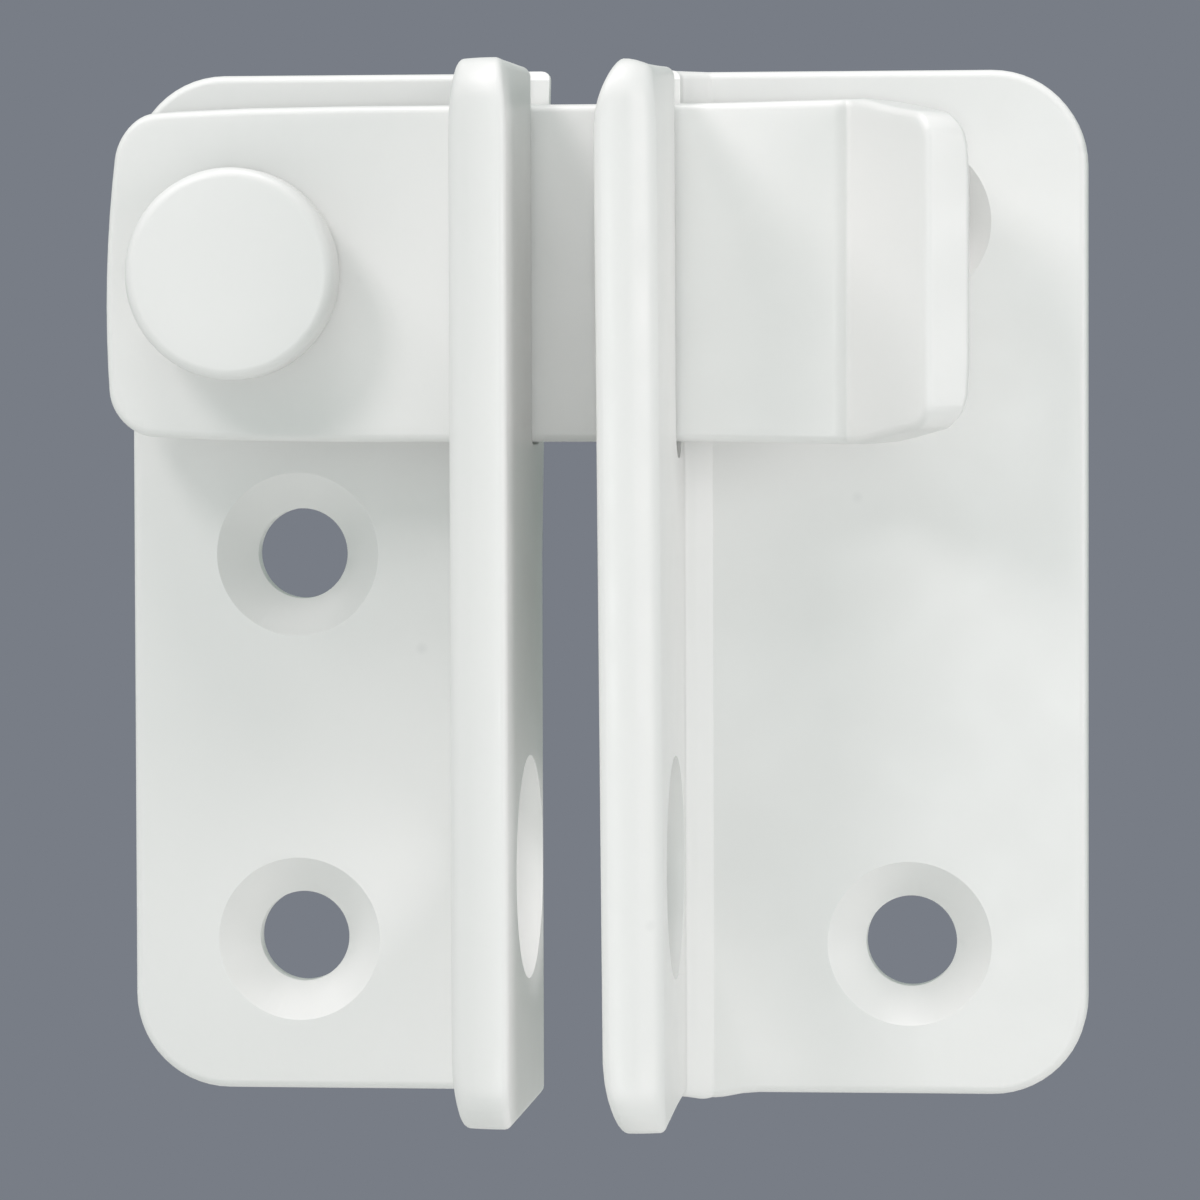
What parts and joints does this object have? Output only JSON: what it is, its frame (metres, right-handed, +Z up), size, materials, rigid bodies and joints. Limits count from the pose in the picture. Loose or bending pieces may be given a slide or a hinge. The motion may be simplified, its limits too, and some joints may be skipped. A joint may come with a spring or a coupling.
{
  "type": "flip gate latch",
  "caption": "Flip latch for a gate or door: a pivoting flat bar with a folded finger tip drops into open notches in two folded brackets with padlock holes.",
  "frame": {"origin": "midway between the door bracket's two screw holes, on the back face of its plate", "axes": "+Z up, +Y into the door face that the brackets are screwed to, +X towards the keeper"},
  "size_m": [0.0531, 0.0206, 0.0561],
  "materials": {
    "white_paint": "satin white powder coat with a faint orange peel"
  },
  "bodies": {
    "brackets": {"door_bracket": "white_paint", "keeper_bracket": "white_paint", "pivot_rivet": "white_paint", "pivot_spacer": "white_paint"},
    "bar": {"latch_bar": "white_paint"}
  },
  "joints": [
    {"name": "bar_flip", "type": "hinge", "parent": "brackets", "child": "bar", "pos_m": [-0.0021, -0.0075, 0.026], "axis": [0, -1, 0], "range_deg": [0, 270]}
  ]
}
